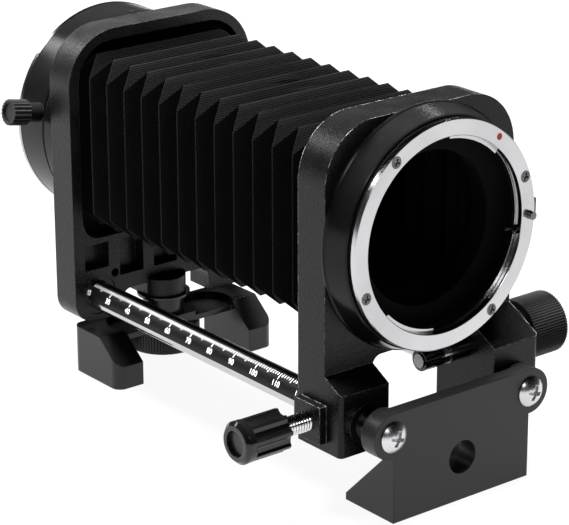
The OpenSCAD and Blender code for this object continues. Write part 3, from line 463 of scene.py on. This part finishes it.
def make_release_spring():
    """A round of wire, spun and drawn along the pin between the lever and the front standard."""
    box = [Vector(c) / MM for c in nodes["release_spring"].bound_box]
    front, rear = min(c.y for c in box), max(c.y for c in box)
    x = (min(c.x for c in box) + max(c.x for c in box)) / 2
    z = (min(c.z for c in box) + max(c.z for c in box)) / 2
    start = front + WIRE_R + SPRING_GAP
    rise = (rear - front - 2 * WIRE_R - 2 * SPRING_GAP) / COIL_STEPS
    bm = bmesh.new()
    bmesh.ops.create_circle(bm, segments=WIRE_SIDES, radius=WIRE_R,
                            matrix=Matrix.Translation((x + COIL_R, start, z)))
    spun = bmesh.ops.spin(bm, geom=bm.verts[:] + bm.edges[:], cent=(x, start, z), axis=(0, 1, 0),
                          dvec=(0, rise, 0), angle=COIL_TURNS * math.tau, steps=COIL_STEPS)
    far_end = [g for g in spun["geom_last"] if isinstance(g, bmesh.types.BMEdge)]
    near_end = [e for e in bm.edges if e.is_boundary and e not in far_end]
    bmesh.ops.contextual_create(bm, geom=far_end)
    bmesh.ops.contextual_create(bm, geom=near_end)
    bmesh.ops.recalc_face_normals(bm, faces=bm.faces)
    bmesh.ops.scale(bm, vec=(MM, MM, MM), verts=bm.verts)
    spring = piece("lens_lock_spring", bm, zinc)
    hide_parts("release_spring")
    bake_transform(spring)


make_release_spring()


# ---- Floor, light and camera ----

# The floor is just under the feet, and reaches this many metres each way
FLOOR_Z, FLOOR_REACH = -3.05, 4.0
# Strength of the world where the camera sees it past the floor
SEEN_STRENGTH = 0.93
# The photograph's size, focal length and optical centre, in pixels, and its distance in millimetres
PHOTO_W, PHOTO_H, FOCAL, CENTRE_X, CENTRE_Y = 569, 525, 2511.856, 290.64, 256.30
DISTANCE, SENSOR_W = 728.462, 36.0

floor_bm = bmesh.new()
bmesh.ops.create_grid(floor_bm, x_segments=2, y_segments=2, size=FLOOR_REACH,
                      matrix=Matrix.Translation((0, 0, FLOOR_Z * MM)))
pale = surface("pale_floor", grey(0.020, 1.0), grey(0.022, 1.0), (0.60, 0.70), 300.0, 0.00001, 3.0,
               Specular_IOR_Level=0.2, Emission_Strength=0.93)
pale.node_tree.nodes["Principled BSDF"].inputs["Emission Color"].default_value = (1.0, 1.0, 1.0, 1.0)
piece("floor", floor_bm, pale)

world = bpy.data.worlds.new("studio")
bpy.context.scene.world = world
world.use_nodes = True
bpy.context.scene.view_settings.view_transform = "Standard"

TARGET = Vector((8.85, -51.5, 40.72)) * MM
AZ, EL, ROLL = math.radians(-38.5725), math.radians(19.8923), math.radians(-0.1416)
back = Vector((math.sin(AZ) * math.cos(EL), -math.cos(AZ) * math.cos(EL), math.sin(EL)))
right = Vector((math.cos(AZ), math.sin(AZ), 0))
up = back.cross(right)
right, up = right * math.cos(ROLL) + up * math.sin(ROLL), up * math.cos(ROLL) - right * math.sin(ROLL)

# The room is lighter low down and in front of the camera, and dim overhead and behind it. Its colour is
# Blender's own dark grey, so what the camera sees past the floor is dark grey too
room = Nodes(world.node_tree)
looking = room.node("ShaderNodeTexCoord", {}, {}, "Generated")
toward_camera = room.node("ShaderNodeVectorMath", {"operation": "DOT_PRODUCT"}, {
    0: looking, 1: back}, "Value")
height = room.node("ShaderNodeSeparateXYZ", {}, {"Vector": looking}, "Z")
brightness = toward_camera.between(-0.6, 0.9, 1.0, 0.25) * height.between(0.36, 0.60, 1.0, 0.03)
seen = room.node("ShaderNodeLightPath", {}, {}, "Is Camera Ray")
brightness = brightness * (1 - seen) + seen * SEEN_STRENGTH
room.tree.links.new(brightness.socket, world.node_tree.nodes["Background"].inputs["Strength"])


def area_light(name, place, size, power, mirrored=True):
    light = bpy.data.lights.new(name, "AREA")
    light.shape = "RECTANGLE"
    light.size, light.size_y = size
    light.energy = power
    o = bpy.data.objects.new(name, light)
    o.location = TARGET + Vector(place)
    o.rotation_mode = "QUATERNION"
    o.rotation_quaternion = Vector(place).to_track_quat("Z", "Y")
    o.visible_glossy = mirrored
    bpy.context.collection.objects.link(o)


area_light("top_soft", (0.10, 0.20, 1.0), (0.9, 0.7), 210.0, mirrored=False)
area_light("corner_strip", (-0.36, 0.82, 0.64), (0.40, 0.16), 2.0)
area_light("knob_strip", (0.60, 0.34, 0.76), (0.05, 0.14), 0.9)
area_light("front_soft", (-0.40, -0.80, 0.55), (0.26, 0.20), 0.9)

cam = bpy.data.cameras.new("camera")
cam.sensor_width = SENSOR_W
cam.lens = FOCAL / PHOTO_W * SENSOR_W
cam.shift_x = -(CENTRE_X - PHOTO_W / 2) / PHOTO_W
cam.shift_y = (CENTRE_Y - PHOTO_H / 2) / PHOTO_W
cam.clip_start, cam.clip_end = 0.01, 20.0
camera = bpy.data.objects.new("camera", cam)
camera.matrix_world = Matrix((
    (right.x, up.x, back.x, 0), (right.y, up.y, back.y, 0), (right.z, up.z, back.z, 0), (0, 0, 0, 1)))
camera.location = TARGET + back * DISTANCE * MM
bpy.context.collection.objects.link(camera)
bpy.context.scene.camera = camera

bpy.context.view_layer.update()
